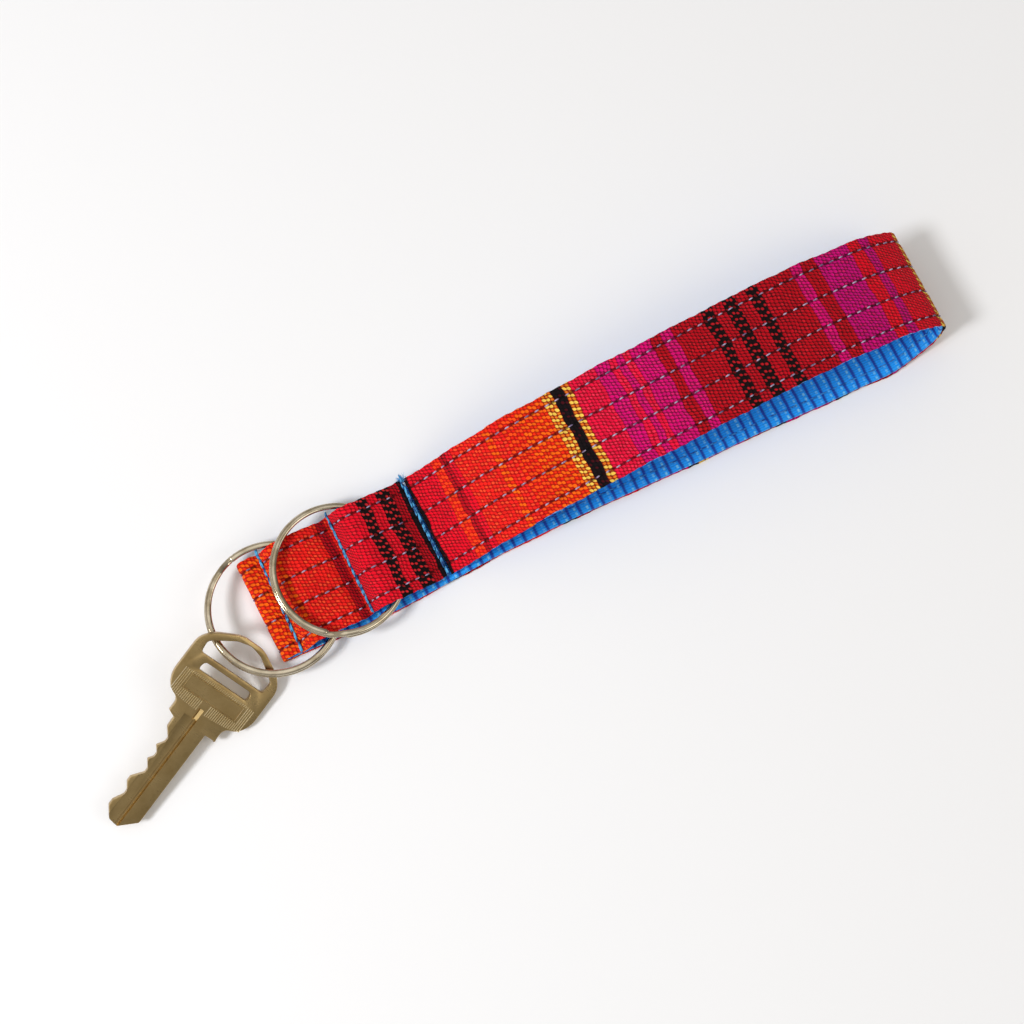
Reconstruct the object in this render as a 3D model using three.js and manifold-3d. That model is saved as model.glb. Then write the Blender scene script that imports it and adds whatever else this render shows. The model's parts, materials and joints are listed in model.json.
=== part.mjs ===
// A wristlet keychain: one band of webbing with a woven cover, folded into a wrist loop and a two-pocket
// tab, two split rings that pass through the pockets, and a house key on the first ring.
// Millimetres, +Z up. The band lies along X, the wrist loop towards +X, the rings towards -X.
import * as THREE from "three";
import Module from "manifold-3d";
import { mergeVertices } from "three/addons/utils/BufferGeometryUtils.js";

// ---- Driving dimensions -----------------------------------------------------------------------------
const BAND_WIDTH = 25.2;
const WEBBING_THICK = 1.1;
const COVER_THICK = 0.7;
const LAYER_GAP = 0.3; // between the two layers where they are sewn together
const SKIN_GAP = 0.05; // between the webbing and its cover
const ENDS_GAP = 0.5; // between the band's two ends, where they meet under the third seam

const SEAM_1_X = -38.4; // closes the ring end
const SEAM_2_X = -20.0; // between the two pockets
const SEAM_3_X = 0.0; // where the wrist loop starts
const RING_END_X = -41.75; // centre of the fold at the ring end
const SEAM_LENGTH = 23.0;
const SEAM_WIDTH = 0.5;
const SEAM_THICK = 0.35;
const SEAM_LIFT = 0.25; // clear of the cover, which rises on each side of a seam

const STITCH_ROWS = [-10, -3.33, 3.33, 10]; // across the band
const THREAD_WIDTH = 0.45;
const THREAD_THICK = 0.3;
const GROOVE_WIDTH = 0.8;
const GROOVE_DEPTH = 0.4;

const RING_RADIUS = 16; // outside
const WIRE_WIDTH = 1.7; // measured along the ring's radius
const COIL_HEIGHT = 1.0; // one of the two turns
const COIL_GAP = 0.1; // between the two turns
const COIL_RAMP = 16; // degrees over which the wire climbs from the lower turn to the upper
const KEY_RING_TILT = 6.6; // degrees, free side up
const SPARE_RING_TILT = 13.3;
const KEY_RING_AT = [-39.9, -0.9];
const SPARE_RING_AT = [-22.5, 0];
const KEY_RING_RAMP_AT = 122; // degrees round the ring, where its coil ends are
const SPARE_RING_RAMP_AT = 250;

const KEY_LENGTH = 52.4;
const KEY_THICK = 1.9;
const BOW_HALF = 11.3;
const BLADE_WIDTH = 8.5;
const BLADE_LENGTH = 28.4; // tip to shoulder
const BLADE_CENTRE = -0.4; // across the key
const KEY_ON_RING = 211; // degrees round the key ring, where the key hangs
const KEY_HOLE_AT = 45.9; // from the tip to the wire's middle
const KEY_WIRE_ABOVE = -0.05; // the wire's middle above the key's own middle plane, there
const KEY_HEADING = 25.7; // degrees from +X to the line from tip to bow
const KEY_PITCH = 3.8;
const KEY_ROLL = 25;

// ---- Shared values ----------------------------------------------------------------------------------
const rad = THREE.MathUtils.degToRad;
const bottomLine = COVER_THICK; // height of the line between cover and webbing, in the lower layer
const topLine = COVER_THICK + 2 * WEBBING_THICK + LAYER_GAP; // the same line in the upper layer, at a seam
const stackHeight = 2 * COIL_HEIGHT + COIL_GAP;
const wireRadius = RING_RADIUS - WIRE_WIDTH / 2;
const webbingTop = COVER_THICK + WEBBING_THICK;

const root = new THREE.Group();

function material(color, roughness, metalness = 0) {
  return new THREE.MeshStandardMaterial({ color, roughness, metalness });
}

const finish = {
  webbing: material(0x1560a8, 0.75),
  cover: material(0xb8122a, 0.9),
  topstitch: material(0x8a7f92, 0.8),
  bobbin: material(0x9aa2b5, 0.8),
  seam: material(0x1c58b0, 0.7),
  ring: material(0xc9c1ae, 0.25, 1),
  key: material(0xa3875a, 0.38, 1),
};

function add(name, geometry, look, parent = root) {
  const mesh = new THREE.Mesh(geometry, look);
  mesh.name = name;
  parent.add(mesh);
  return mesh;
}

// ---- The band's route -------------------------------------------------------------------------------
// Each point is the line between webbing and cover: [x, z] and the band's sideways shift there.
// The band starts under seam 3, goes round the wrist loop, back along the bottom, round the ring end and
// over the two pockets to seam 3 again. The webbing is always on the inside of that route.
const loopPoints = [
  [SEAM_3_X + ENDS_GAP / 2, topLine, 0],
  [3, topLine + 0.3, 0],
  [7, topLine + 1.9, 0],
  [13, 8.4, 0],
  [22, 12.6, 0],
  [34, 15.9, 0],
  [48, 18.2, 0],
  [64, 19.7, 0],
  [80, 20.3, 0],
  [95, 20.2, 0],
  [108, 19.0, -0.2],
  [117, 16.9, -0.5],
  [124, 13.8, -1.0],
  [128.2, 10.2, -1.6],
  [129, 6.8, -2.3],
  [127, 3.8, -3.0],
  [122.5, 1.7, -3.7],
  [116, 0.85, -4.1],
  [108, bottomLine, -4.2],
];
const bottomPoints = [
  [96, bottomLine, -4.1],
  [82, bottomLine, -3.7],
  [66, bottomLine, -3.1],
  [50, bottomLine, -2.3],
  [34, bottomLine, -1.5],
  [20, bottomLine, -0.9],
  [8, bottomLine, -0.6],
  [-4, bottomLine, -0.7],
  [-16, bottomLine, -0.9],
  [-28, bottomLine, -0.7],
  [-37, bottomLine, -0.3],
];
const pocketPoints = [
  [SEAM_1_X - 1.4, topLine, 0],
  [SEAM_1_X, topLine, 0],
  [-37.5, topLine + 0.3, 0],
  [-36.5, 4.7, 0],
  [-35.5, 6.1, 0],
  [-34.4, 6.85, 0],
  [-32.9, 6.95, 0],
  [-30, 6.5, 0],
  [-26.6, 5.95, 0],
  [-24, 5.4, 0],
  [-22.2, 4.15, 0],
  [-21.1, topLine + 0.2, 0],
  [SEAM_2_X, topLine, 0],
  [-19, topLine + 0.45, 0],
  [-18, 5.25, 0],
  [-17, 7.1, 0],
  [-15.9, 8.15, 0],
  [-14.3, 8.35, 0],
  [-12, 7.7, 0],
  [-9, 6.6, 0],
  [-6.3, 5.6, 0],
  [-4, 4.35, 0],
  [-2.4, topLine + 0.25, 0],
  [SEAM_3_X - ENDS_GAP / 2, topLine, 0],
];
const LOOP_STEPS = 28;
const POCKET_STEPS = 36;
const FOLD_STEPS = 7;

function toPoint([x, z, y]) {
  return new THREE.Vector3(x, y, z);
}

function alongCurve(points, steps) {
  const curve = new THREE.CatmullRomCurve3(points.map(toPoint), false, "centripetal");
  return curve.getPoints(steps);
}

function ringEndFold() {
  const radius = (topLine - bottomLine) / 2;
  const arc = [];
  for (let i = 0; i <= FOLD_STEPS; i++) {
    const angle = rad(270 - (180 * i) / FOLD_STEPS);
    arc.push(
      new THREE.Vector3(
        RING_END_X + radius * Math.cos(angle),
        -0.2 * (1 - i / FOLD_STEPS),
        bottomLine + radius + radius * Math.sin(angle),
      ),
    );
  }
  return arc;
}

const route = [
  ...alongCurve(loopPoints, LOOP_STEPS),
  ...bottomPoints.map(toPoint),
  ...ringEndFold(),
  ...alongCurve(pocketPoints, POCKET_STEPS),
];

// The outward direction at each point of the route, square to the route in the XZ plane.
function outwardAt(i) {
  const before = route[Math.max(i - 1, 0)];
  const after = route[Math.min(i + 1, route.length - 1)];
  const along = new THREE.Vector3(after.x - before.x, 0, after.z - before.z).normalize();
  if (i === 0 || i === route.length - 1) along.set(Math.sign(along.x), 0, 0);
  return new THREE.Vector3(-along.z, 0, along.x);
}

// A closed solid swept along the whole route. The section is a list of [across, outward] corners.
function sweepBand(section) {
  const positions = [];
  route.forEach((point, i) => {
    const outward = outwardAt(i);
    for (const [across, out] of section) {
      positions.push(point.x + outward.x * out, point.y + across, point.z + outward.z * out);
    }
  });
  const count = section.length;
  const faces = [];
  for (let i = 0; i < route.length - 1; i++) {
    for (let j = 0; j < count; j++) {
      const a = i * count + j;
      const b = i * count + ((j + 1) % count);
      faces.push(a, a + count, b, b, a + count, b + count);
    }
  }
  const flat = section.map(([across, out]) => new THREE.Vector2(across, out));
  const last = (route.length - 1) * count;
  for (const [a, b, c] of THREE.ShapeUtils.triangulateShape(flat, [])) {
    const sameWay = THREE.ShapeUtils.area([flat[a], flat[b], flat[c]]) < 0;
    const [p, q] = sameWay ? [b, c] : [c, b];
    faces.push(a, p, q, last + a, last + q, last + p);
  }
  return new THREE.BufferGeometry()
    .setAttribute("position", new THREE.Float32BufferAttribute(positions, 3))
    .setIndex(faces);
}

// A flat section with a shallow groove for each stitch row on one face.
function groovedSection(inner, outer, grooveOutside) {
  const half = BAND_WIDTH / 2;
  const face = grooveOutside ? outer : inner;
  const floor = grooveOutside ? outer - GROOVE_DEPTH : inner + GROOVE_DEPTH;
  const grooves = STITCH_ROWS.flatMap((y) => [
    [y - GROOVE_WIDTH / 2, face],
    [y - GROOVE_WIDTH / 2, floor],
    [y + GROOVE_WIDTH / 2, floor],
    [y + GROOVE_WIDTH / 2, face],
  ]);
  return grooveOutside
    ? [[half, inner], [-half, inner], [-half, outer], ...grooves, [half, outer]]
    : [[-half, outer], [half, outer], [half, inner], ...grooves.reverse(), [-half, inner]];
}

function threadSection(y, inner) {
  const half = THREAD_WIDTH / 2;
  return [
    [y + half, inner],
    [y - half, inner],
    [y, inner + THREAD_THICK],
  ];
}

function buildBand() {
  add("webbing_strip", sweepBand(groovedSection(-WEBBING_THICK, 0, false)), finish.webbing);
  add("woven_cover", sweepBand(groovedSection(SKIN_GAP, COVER_THICK, true)), finish.cover);
  STITCH_ROWS.forEach((y, i) => {
    const needle = threadSection(y, COVER_THICK - GROOVE_DEPTH + 0.05);
    const bobbin = threadSection(y, -WEBBING_THICK + GROOVE_DEPTH - THREAD_THICK - 0.05);
    add(`topstitch_thread_${i + 1}`, sweepBand(needle), finish.topstitch);
    add(`bobbin_thread_${i + 1}`, sweepBand(bobbin), finish.bobbin);
  });
}

// ---- Cross seams ------------------------------------------------------------------------------------
// The thread of each seam lies on the cover of the upper layer.
function buildSeams() {
  const lift = topLine + COVER_THICK + SEAM_LIFT + SEAM_THICK / 2;
  [SEAM_1_X, SEAM_2_X, SEAM_3_X].forEach((x, i) => {
    const bar = new THREE.BoxGeometry(SEAM_WIDTH, SEAM_LENGTH, SEAM_THICK);
    add(`cross_seam_thread_${i + 1}`, bar, finish.seam).position.set(x, 0, lift);
  });
}

// ---- Split rings ------------------------------------------------------------------------------------
// One flat wire wound twice round, the turns a hair apart, in the ring's own frame: its axis is Z.
const RING_STEPS_PER_TURN = 44;

function splitRing(rampAt) {
  const turns = 2 - COIL_RAMP / 360;
  const steps = Math.round(turns * RING_STEPS_PER_TURN);
  const climb = COIL_HEIGHT + COIL_GAP;
  const positions = [];
  for (let i = 0; i <= steps; i++) {
    const degrees = (i / steps) * turns * 360;
    const share = THREE.MathUtils.smoothstep(degrees, 360 - COIL_RAMP, 360);
    const middle = -climb / 2 + climb * share;
    const angle = rad(rampAt + degrees);
    for (const [dr, dz] of [[-1, -1], [1, -1], [1, 1], [-1, 1]]) {
      const r = wireRadius + (dr * WIRE_WIDTH) / 2;
      positions.push(r * Math.cos(angle), r * Math.sin(angle), middle + (dz * COIL_HEIGHT) / 2);
    }
  }
  const faces = [];
  for (let i = 0; i < steps; i++) {
    for (let j = 0; j < 4; j++) {
      const a = i * 4 + j;
      const b = i * 4 + ((j + 1) % 4);
      faces.push(a, a + 4, b, b, a + 4, b + 4);
    }
  }
  const last = steps * 4;
  faces.push(0, 1, 2, 0, 2, 3, last, last + 2, last + 1, last, last + 3, last + 2);
  return new THREE.BufferGeometry()
    .setAttribute("position", new THREE.Float32BufferAttribute(positions, 3))
    .setIndex(faces);
}

// The ring's lowest wire lies on the lower layer's webbing, inside its pocket.
function ringCentre([x, y], tilt) {
  const wireLow = (stackHeight / 2) * Math.cos(rad(tilt)) + (WIRE_WIDTH / 2) * Math.sin(rad(tilt));
  const rise = wireRadius * Math.sin(rad(tilt));
  return new THREE.Vector3(x, y, webbingTop + 0.1 + wireLow + rise);
}

function placeRing(name, at, tilt, rampAt) {
  const holder = new THREE.Group();
  holder.position.copy(ringCentre(at, tilt));
  holder.rotation.y = rad(tilt);
  root.add(holder);
  add(name, splitRing(rampAt), finish.ring, holder);
}

// ---- House key --------------------------------------------------------------------------------------
// Drawn flat in its own frame: X across, Y from tip to bow, Z up.
const BOW_WALL = 1.9;
const BAR_AT = 42.9; // the bow's crossbar, between the ring's window and the slot
const BAR_WIDTH = 1.5;
const WINDOW_LOW = 40.0;
const SLOT_HALF = 7.0;
const MILLED_WIDTH = 1.6;
const MILLED_DEPTH = 0.55;

// The cut edge from shoulder to tip, each point [from the tip, depth below the blade's edge].
const CUT_EDGE = [
  [25.0, 0],
  [23.1, 1.9],
  [22.0, 1.9],
  [20.3, 0.7],
  [18.9, 1.9],
  [17.8, 1.9],
  [16.6, 1.0],
  [14.8, 2.4],
  [13.7, 2.4],
  [11.2, 0.3],
  [9.9, 0.3],
  [8.1, 1.6],
  [7.0, 1.6],
  [4.6, 0.2],
  [3.2, 0.2],
  [0.6, 2.2],
];

function keyOutline() {
  const left = BLADE_CENTRE - BLADE_WIDTH / 2;
  const right = BLADE_CENTRE + BLADE_WIDTH / 2;
  const shape = new THREE.Shape();
  shape.moveTo(BLADE_CENTRE + 0.4, 0);
  shape.lineTo(right - 0.9, 1.5);
  shape.lineTo(right, 3.6);
  shape.lineTo(right, BLADE_LENGTH);
  shape.lineTo(6.6, BLADE_LENGTH);
  shape.quadraticCurveTo(6.9, 32, 9.4, 33.4);
  shape.quadraticCurveTo(BOW_HALF, 34.4, BOW_HALF, 36.8);
  shape.lineTo(BOW_HALF, 45.4);
  shape.quadraticCurveTo(BOW_HALF, 47, 9.8, 48.2);
  shape.lineTo(3.6, KEY_LENGTH - 1);
  shape.quadraticCurveTo(0, KEY_LENGTH + 0.9, -3.6, KEY_LENGTH - 1);
  shape.lineTo(-9.8, 48.2);
  shape.quadraticCurveTo(-BOW_HALF, 47, -BOW_HALF, 45.4);
  shape.lineTo(-BOW_HALF, 36.8);
  shape.quadraticCurveTo(-BOW_HALF, 34.4, -9.4, 33.4);
  shape.quadraticCurveTo(-6.9, 32, -6.6, BLADE_LENGTH);
  shape.lineTo(left, BLADE_LENGTH - 0.4);
  for (const [at, depth] of CUT_EDGE) shape.lineTo(left + depth, at);
  return shape;
}

function bowWindows() {
  const barTop = BAR_AT + BAR_WIDTH / 2;
  const barLow = BAR_AT - BAR_WIDTH / 2;
  const wide = BOW_HALF - BOW_WALL;
  const ringWindow = new THREE.Shape();
  ringWindow.moveTo(-wide + 0.6, barTop);
  ringWindow.lineTo(wide - 0.6, barTop);
  ringWindow.lineTo(wide - 0.1, 46.5);
  ringWindow.lineTo(3.3, KEY_LENGTH - 2.2);
  ringWindow.quadraticCurveTo(0, KEY_LENGTH - 1.0, -3.3, KEY_LENGTH - 2.2);
  ringWindow.lineTo(-wide + 0.1, 46.5);
  const slot = new THREE.Shape();
  slot.moveTo(-SLOT_HALF + 0.8, WINDOW_LOW);
  slot.lineTo(SLOT_HALF - 0.8, WINDOW_LOW);
  slot.lineTo(SLOT_HALF, WINDOW_LOW + 0.8);
  slot.lineTo(SLOT_HALF - 0.4, barLow);
  slot.lineTo(-SLOT_HALF + 0.4, barLow);
  slot.lineTo(-SLOT_HALF, WINDOW_LOW + 0.8);
  return [ringWindow, slot];
}

// A geometry as a manifold solid, its shared corners merged.
function toSolid(wasm, geometry) {
  const plain = new THREE.BufferGeometry().setAttribute("position", geometry.getAttribute("position"));
  if (geometry.index) plain.setIndex(geometry.index);
  const merged = mergeVertices(plain, 1e-4);
  return new wasm.Manifold(
    new wasm.Mesh({
      numProp: 3,
      vertProperties: new Float32Array(merged.attributes.position.array),
      triVerts: new Uint32Array(merged.index.array),
    }),
  );
}

function fromSolid(solid) {
  const mesh = solid.getMesh();
  return new THREE.BufferGeometry()
    .setAttribute("position", new THREE.BufferAttribute(new Float32Array(mesh.vertProperties), 3))
    .setIndex(new THREE.BufferAttribute(new Uint32Array(mesh.triVerts), 1));
}

async function buildKey() {
  const wasm = await Module();
  wasm.setup();
  const plate = (shape, depth) =>
    new THREE.ExtrudeGeometry(shape, { depth, bevelEnabled: false, curveSegments: 4 }).translate(
      0,
      0,
      -depth / 2,
    );
  const millLength = BLADE_LENGTH + 4;
  const milled = [-1, 1].map((side) =>
    new THREE.BoxGeometry(MILLED_WIDTH, millLength, 2 * MILLED_DEPTH).translate(
      BLADE_CENTRE + side * 1.3,
      millLength / 2 - 1,
      side * (KEY_THICK / 2),
    ),
  );
  const windows = bowWindows().map((shape) => plate(shape, 2 * KEY_THICK));
  const cut = [...milled, ...windows].reduce(
    (body, cutter) => body.subtract(toSolid(wasm, cutter)),
    toSolid(wasm, plate(keyOutline(), KEY_THICK)),
  );

  const onRing = new THREE.Vector3(Math.cos(rad(KEY_ON_RING)), Math.sin(rad(KEY_ON_RING)), 0)
    .multiplyScalar(wireRadius)
    .applyEuler(new THREE.Euler(0, rad(KEY_RING_TILT), 0))
    .add(ringCentre(KEY_RING_AT, KEY_RING_TILT));
  const key = add("house_key", fromSolid(cut), finish.key);
  key.rotation.set(rad(KEY_PITCH), rad(KEY_ROLL), rad(KEY_HEADING - 90), "ZXY");
  const hole = new THREE.Vector3(0, KEY_HOLE_AT, KEY_WIRE_ABOVE).applyEuler(key.rotation);
  key.position.copy(onRing.sub(hole));
}

buildBand();
buildSeams();
placeRing("key_split_ring", KEY_RING_AT, KEY_RING_TILT, KEY_RING_RAMP_AT);
placeRing("spare_split_ring", SPARE_RING_AT, SPARE_RING_TILT, SPARE_RING_RAMP_AT);
await buildKey();

export default root;
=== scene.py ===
import json
import math
import random

import bmesh
import bpy
import numpy as np
from mathutils import Matrix, Vector
from mathutils.noise import noise as perlin


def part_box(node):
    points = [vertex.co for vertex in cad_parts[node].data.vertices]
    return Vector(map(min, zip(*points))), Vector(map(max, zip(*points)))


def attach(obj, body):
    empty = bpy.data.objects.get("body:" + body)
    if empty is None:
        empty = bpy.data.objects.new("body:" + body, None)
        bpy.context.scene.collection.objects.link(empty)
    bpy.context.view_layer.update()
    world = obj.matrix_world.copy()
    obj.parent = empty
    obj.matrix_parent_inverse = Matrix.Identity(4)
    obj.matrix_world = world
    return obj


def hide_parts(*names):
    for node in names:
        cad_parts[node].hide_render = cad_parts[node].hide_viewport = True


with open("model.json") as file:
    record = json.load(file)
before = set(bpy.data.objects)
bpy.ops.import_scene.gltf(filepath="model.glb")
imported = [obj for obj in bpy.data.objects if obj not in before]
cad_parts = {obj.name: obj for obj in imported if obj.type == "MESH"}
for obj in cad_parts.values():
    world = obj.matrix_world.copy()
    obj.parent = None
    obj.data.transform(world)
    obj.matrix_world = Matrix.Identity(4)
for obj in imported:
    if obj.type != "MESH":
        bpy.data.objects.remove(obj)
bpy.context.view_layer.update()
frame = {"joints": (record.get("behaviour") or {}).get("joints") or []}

MM = 0.001


random.seed(7)

# ---- The band's route, in millimetres: the line between the webbing and its woven cover ----------
WEB_THICK, COVER_THICK, SKIN = 1.1, 0.62, 0.05
HALF = 12.6
CAD_COVER = 0.7  # how far the CAD cover's outer face stands off the route
FOLD_RADIUS = 1.25  # the route's, at the ring end
SEAM_1, SEAM_2 = -38.4, -20.0
LOW, TOP = 0.7, 3.2  # the route's height in the lower layer, and in the upper layer at a seam
INNER_ROW, OUTER_ROW = 3.33, 10.0
ROWS = (-OUTER_ROW, -INNER_ROW, INNER_ROW, OUTER_ROW)
STITCH = 2.62  # from one stitch to the next
RIB = 2.9  # from one rib of the webbing to the next
ROW_PITCH, COLUMN_PITCH = 0.88, 0.84  # the cover's weave, along and across the band

cover_low, cover_high = (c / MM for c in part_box("woven_cover"))
FAR = cover_high.x - CAD_COVER  # the route's furthest point
RING_END = cover_low.x + CAD_COVER + FOLD_RADIUS

LOOP = [
    (0.25, 3.2, 0), (3, 3.5, 0.1), (7, 5.1, 0.2), (13, 8.4, 0.35), (22, 12.6, 0.4), (34, 15.9, 0.35),
    (48, 18.2, 0.3), (64, 19.7, 0.3), (80, 20.3, 0.3), (95, 20.2, 0.2), (108, 19.0, -0.1),
    (117, 16.9, -0.5), (FAR - 5, 13.8, -1.1), (FAR - 0.8, 10.2, -1.7), (FAR, 6.8, -2.4), (FAR - 2, 3.8, -3.4),
    (FAR - 6.5, 1.7, -4.3), (116, 0.85, -5.3), (108, LOW, -5.0), (96, LOW, -4.5), (82, LOW, -3.7),
    (66, LOW, -3.1), (50, LOW, -2.3), (34, LOW, -1.5), (20, LOW, -1.1), (8, LOW, -1.1), (-4, LOW, -1.4),
    (-16, LOW, -1.6), (-28, LOW, -1.1), (-37, LOW, -0.5),
]
FOLD = [
    (RING_END + FOLD_RADIUS * math.cos(math.radians(a)),
     LOW + FOLD_RADIUS + FOLD_RADIUS * math.sin(math.radians(a)),
     -0.3 + (270 - a) / 600)
    for a in range(270, 89, -20)
]
POCKETS = [
    (SEAM_1 - 1.4, TOP, 0), (SEAM_1, TOP, -0.3), (-37.5, 3.5, -0.4), (-36.5, 4.7, -0.3), (-35.5, 6.1, -0.2),
    (-34.4, 6.85, -0.1), (-32.9, 6.95, 0), (-30, 6.5, 0), (-26.6, 5.95, -0.1), (-24, 5.4, -0.2),
    (-22.2, 4.15, -0.2), (-21.1, 3.4, 0), (SEAM_2, TOP, 0.3), (-19, 3.65, 0.3), (-18, 5.25, 0.2),
    (-17, 7.1, 0.1), (-15.9, 8.15, 0), (-14.3, 8.35, -0.1), (-12, 7.7, -0.2), (-9, 6.6, -0.2),
    (-6.3, 5.6, -0.2), (-4, 4.35, -0.2), (-2.4, 3.45, -0.1), (-0.25, TOP, 0),
]


def smooth_line(points, per=24):
    """A centripetal Catmull-Rom curve through the points."""
    p = np.array([points[0], *points, points[-1]], float)
    p[0] = 2 * p[1] - p[2]
    p[-1] = 2 * p[-2] - p[-3]
    out = []
    for i in range(1, len(p) - 2):
        t = np.concatenate([[0], np.cumsum(np.sqrt(np.linalg.norm(np.diff(p[i - 1:i + 3], axis=0), axis=1)))])
        for s in np.linspace(t[1], t[2], per, endpoint=False):
            q = [p[i - 1 + k] for k in range(4)]
            for level in (1, 2, 3):
                q = [(q[k] * (t[k + level] - s) + q[k + 1] * (s - t[k])) / (t[k + level] - t[k])
                     for k in range(len(q) - 1)]
            out.append(q[0])
    return np.array([*out, p[-2]])


def even(line, step):
    """The line again, its points evenly spaced, with each point's distance along it."""
    along = np.concatenate([[0], np.cumsum(np.linalg.norm(np.diff(line, axis=0), axis=1))])
    at = np.linspace(0, along[-1], int(along[-1] / step) + 1)
    return np.stack([np.interp(at, along, line[:, k]) for k in range(3)], 1), at


ROUTE = np.concatenate([smooth_line(LOOP), FOLD, smooth_line(POCKETS)])[:, [0, 2, 1]]


class Band:
    """The route, sampled, with its outward direction and the place of each station along it."""

    def __init__(self, step):
        self.line, self.at = even(ROUTE, step)
        along = np.gradient(self.line[:, [0, 2]], axis=0)
        along[0, 1] = along[-1, 1] = 0
        for _ in range(int(1.2 / step)):
            along[1:-1] = (along[:-2] + 2 * along[1:-1] + along[2:]) / 4
        along /= np.linalg.norm(along, axis=1)[:, None]
        self.out = np.stack([-along[:, 1], 0 * along[:, 0], along[:, 0]], 1)
        far = int(np.argmax(self.line[:, 0]))
        end = int(np.argmin(self.line[:, 0]))
        self.far, self.end = self.at[far], self.at[end]
        self.length = self.at[-1]

    def point(self, u, v, h):
        """The place at distance u along the band, v across it and h out from the route."""
        p = np.array([np.interp(u, self.at, self.line[:, k]) for k in range(3)])
        o = np.array([np.interp(u, self.at, self.out[:, k]) for k in range(3)])
        o /= np.linalg.norm(o)
        return p + o * h + np.array([0, v, 0])

    def u_of_x(self, x, tab=False):
        """How far along the band the upper layer passes x."""
        if tab:
            keep = self.at > self.end
            return float(np.interp(x, self.line[keep, 0], self.at[keep]))
        keep = self.at <= self.far
        return float(np.interp(x, self.line[keep, 0], self.at[keep]))


band = Band(0.4)
coarse = Band(0.5)


def wave(u, v, scale, seed):
    return perlin(Vector((u * scale, v * scale, seed * 7.3)))


def new_mesh(name, verts, faces, material, uv=None, smooth=True):
    mesh = bpy.data.meshes.new(name)
    mesh.from_pydata((np.array(verts) * MM).tolist(), [], faces)
    if uv is not None:
        layer = mesh.uv_layers.new(name="band")
        index = np.zeros(len(mesh.loops), np.int32)
        mesh.loops.foreach_get("vertex_index", index)
        layer.data.foreach_set("uv", np.array(uv, np.float32)[index].ravel())
    mesh.materials.append(material)
    mesh.polygons.foreach_set("use_smooth", [smooth] * len(mesh.polygons))
    mesh.update()
    obj = bpy.data.objects.new(name, mesh)
    bpy.context.scene.collection.objects.link(obj)
    return obj


def settle(obj, body, node):
    """Parents the piece to the empty of the body it moves with, and hides the CAD node it stands in for, if
    any.
    """
    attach(obj, body)
    if node:
        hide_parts(node)


# ---- Node helpers --------------------------------------------------------------------------------
def srgb(r, g, b, a=1.0):
    def lin(c):
        c = c / 255
        return c / 12.92 if c <= 0.04045 else ((c + 0.055) / 1.055) ** 2.4
    return (lin(r), lin(g), lin(b), a)


class Nodes:
    """Builds one material's node tree."""

    def __init__(self, name):
        self.material = bpy.data.materials.new(name)
        self.material.use_nodes = True
        self.tree = self.material.node_tree
        self.shader = self.tree.nodes["Principled BSDF"]

    def add(self, kind, **values):
        node = self.tree.nodes.new(kind)
        for key, value in values.items():
            setattr(node, key, value)
        return node

    def plug(self, socket, value):
        if isinstance(value, bpy.types.NodeSocket):
            self.tree.links.new(value, socket)
        elif value is not None:
            socket.default_value = value

    def math(self, op, *values, clamp=False):
        node = self.add("ShaderNodeMath", operation=op, use_clamp=clamp)
        for socket, value in zip(node.inputs, values):
            self.plug(socket, value)
        return node.outputs[0]

    def mix(self, factor, a, b, blend="MIX"):
        node = self.add("ShaderNodeMix", data_type="RGBA", blend_type=blend)
        self.plug(node.inputs[0], factor)
        self.plug(node.inputs[6], a)
        self.plug(node.inputs[7], b)
        return node.outputs[2]

    def uv(self):
        split = self.add("ShaderNodeSeparateXYZ")
        self.plug(split.inputs[0], self.add("ShaderNodeUVMap", uv_map="band").outputs[0])
        return split.outputs[0], split.outputs[1]

    def join(self, x, y, z=0.0):
        node = self.add("ShaderNodeCombineXYZ")
        for socket, value in zip(node.inputs, (x, y, z)):
            self.plug(socket, value)
        return node.outputs[0]

    def noise(self, vector, scale, detail=2.0, rough=0.5):
        node = self.add("ShaderNodeTexNoise")
        self.plug(node.inputs["Vector"], vector)
        node.inputs["Scale"].default_value = scale
        node.inputs["Detail"].default_value = detail
        node.inputs["Roughness"].default_value = rough
        return node.outputs["Fac"]

    def random(self, x, y):
        node = self.add("ShaderNodeTexWhiteNoise", noise_dimensions="2D")
        self.plug(node.inputs["Vector"], self.join(x, y))
        return node.outputs["Value"]

    def fit(self, value, a, b, c, d, smooth=False):
        node = self.add("ShaderNodeMapRange", interpolation_type="SMOOTHSTEP" if smooth else "LINEAR")
        for socket, given in zip(node.inputs, (value, a, b, c, d)):
            self.plug(socket, given)
        return node.outputs[0]

    def ramp(self, factor, stops):
        """A ramp of flat steps: stops are (start, colour)."""
        node = self.add("ShaderNodeValToRGB")
        ramp = node.color_ramp
        ramp.interpolation = "CONSTANT"
        while len(ramp.elements) > 1:
            ramp.elements.remove(ramp.elements[-1])
        for i, (start, colour) in enumerate(stops):
            element = ramp.elements[0] if i == 0 else ramp.elements.new(start)
            element.position = start
            element.color = colour
        self.plug(node.inputs[0], factor)
        return node.outputs[0], node.outputs[1]

    def bump(self, height, distance, strength=1.0):
        node = self.add("ShaderNodeBump")
        node.inputs["Strength"].default_value = strength
        node.inputs["Distance"].default_value = distance * MM
        self.plug(node.inputs["Height"], height)
        self.plug(self.shader.inputs["Normal"], node.outputs[0])

    def set(self, **values):
        for key, value in values.items():
            self.plug(self.shader.inputs[key.replace("_", " ")], value)
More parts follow.
